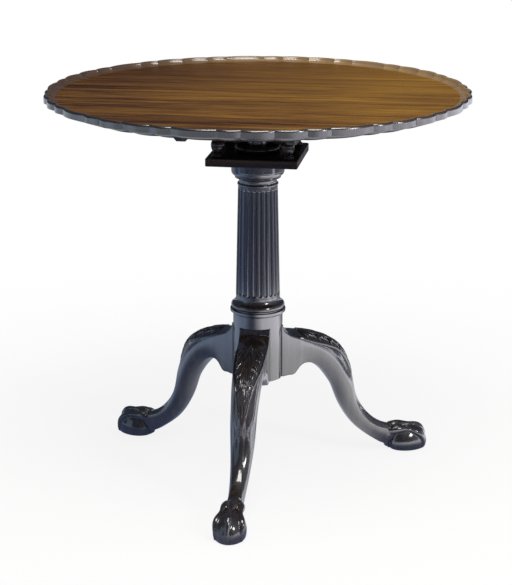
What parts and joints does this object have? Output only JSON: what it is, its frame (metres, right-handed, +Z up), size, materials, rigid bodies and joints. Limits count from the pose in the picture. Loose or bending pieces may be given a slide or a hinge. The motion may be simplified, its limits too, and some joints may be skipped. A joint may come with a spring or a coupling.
{
  "type": "tilt-top tea table",
  "caption": "Round tilt-top tea table with a scalloped tray top on a turning birdcage, a fluted column and cabriole legs with claw-and-ball feet.",
  "frame": {"origin": "on the floor under the column's axis", "axes": "+Z up; -Y towards the front leg and the tilting edge; +X to the right seen from the front"},
  "size_m": [0.7486, 0.7475, 0.717],
  "materials": {
    "mahogany_top": "polished",
    "mahogany_dark": "polished",
    "iron": "forged",
    "brass": "aged"
  },
  "bodies": {
    "pedestal": {"column": "mahogany_dark", "leg_front": "mahogany_dark", "leg_right": "mahogany_dark", "leg_left": "mahogany_dark", "tripod_bracket": "iron", "bracket_screws": "iron", "collar_ring": "mahogany_dark", "locking_wedge": "mahogany_dark"},
    "birdcage": {"birdcage_lower_plate": "mahogany_dark", "birdcage_upper_plate": "mahogany_dark", "baluster_front_left": "mahogany_dark", "baluster_front_right": "mahogany_dark", "baluster_back_left": "mahogany_dark", "baluster_back_right": "mahogany_dark", "strike_plate": "brass", "strike_screws": "brass"},
    "top": {"tray_top": "mahogany_top", "batten_left": "mahogany_dark", "batten_right": "mahogany_dark", "batten_screws": "iron", "catch_guide": "brass", "catch_screws": "brass"},
    "catch": {"catch_bolt": "brass", "catch_knob": "brass"}
  },
  "joints": [
    {"name": "swivel", "type": "hinge", "parent": "pedestal", "child": "birdcage", "pos_m": [0, 0, 0.6], "axis": [0, 0, 1], "continuous": true},
    {"name": "tilt", "type": "hinge", "parent": "birdcage", "child": "top", "pos_m": [0, -0.07375, 0.68545], "axis": [1, 0, 0], "range_deg": [0, 90]},
    {"name": "bolt_slide", "type": "slide", "parent": "top", "child": "catch", "axis": [0, -1, 0], "range_m": [0, 0.009]}
  ]
}
